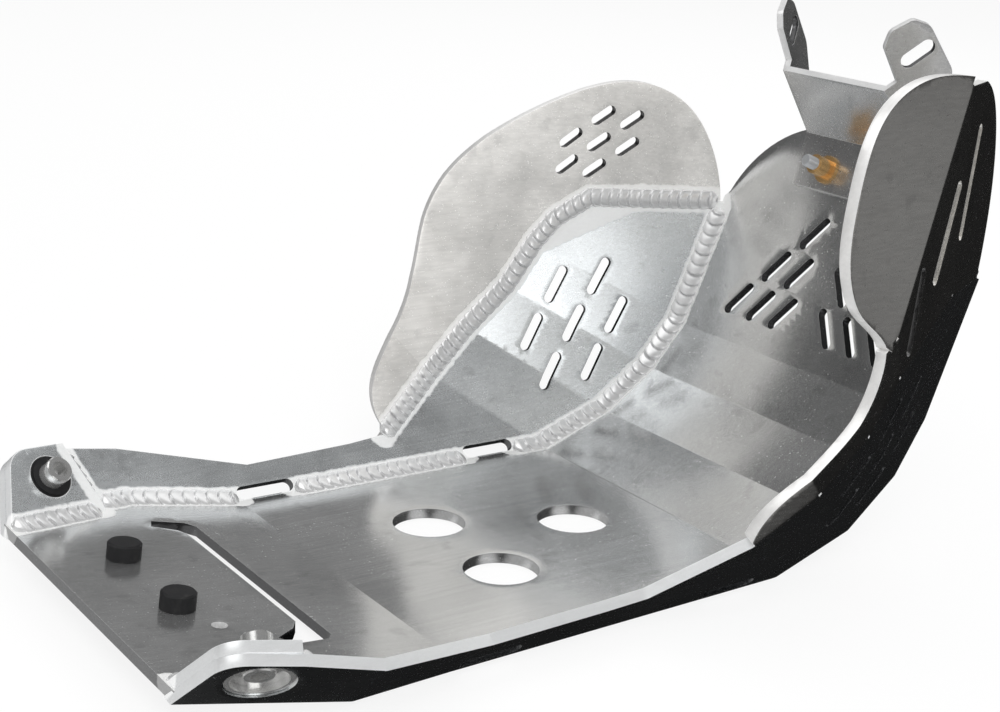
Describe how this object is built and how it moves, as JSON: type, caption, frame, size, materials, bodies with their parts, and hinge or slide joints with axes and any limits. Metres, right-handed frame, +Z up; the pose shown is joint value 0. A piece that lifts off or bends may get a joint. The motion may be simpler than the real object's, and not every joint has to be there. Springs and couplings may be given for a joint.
{
  "type": "motorcycle skid plate",
  "caption": "Motorcycle skid plate of folded, welded aluminium sheet with slotted side wings, rubber-bushed rear mounts and a slotted front bracket.",
  "frame": {"origin": "middle of the flat underside of the floor, on the mid-plane between the rear mounts", "axes": "+X forward towards the bracket, +Y to the left, +Z up, square to the flat floor"},
  "size_m": [0.5176, 0.3464, 0.2915],
  "materials": {
    "floor_aluminium": "bare mill-finish sheet, lightly scuffed",
    "panel_aluminium": "bare sheet, satin",
    "wing_aluminium": "bare sheet, brushed along its length",
    "bracket_aluminium": "bare sheet, folded",
    "weld_metal": "rippled weld bead",
    "black_rubber": "matt black rubber",
    "plain_steel": "turned steel",
    "yellow_zinc": "yellow-passivated zinc plating",
    "zinc_steel": "bright zinc plating"
  },
  "bodies": {
    "root": {"base_plate": "floor_aluminium", "side_rail_left": "panel_aluminium", "side_rail_right": "panel_aluminium", "wing_left": "wing_aluminium", "wing_right": "wing_aluminium", "mount_pad_left": "panel_aluminium", "mount_pad_right": "panel_aluminium", "grommet_left": "black_rubber", "grommet_right": "black_rubber", "sleeve_left": "plain_steel", "sleeve_right": "plain_steel", "cup_washer_left": "plain_steel", "cup_washer_right": "plain_steel", "bumper_left": "black_rubber", "bumper_right": "black_rubber", "front_bracket": "bracket_aluminium", "rivet_nut_left": "yellow_zinc", "rivet_nut_right": "yellow_zinc", "bracket_bolt_left": "zinc_steel", "bracket_bolt_right": "zinc_steel", "floor_weld_left": "weld_metal", "floor_weld_right": "weld_metal", "wing_weld_left": "weld_metal", "wing_weld_right": "weld_metal", "pad_weld_left": "weld_metal", "pad_weld_right": "weld_metal"}
  },
  "joints": []
}
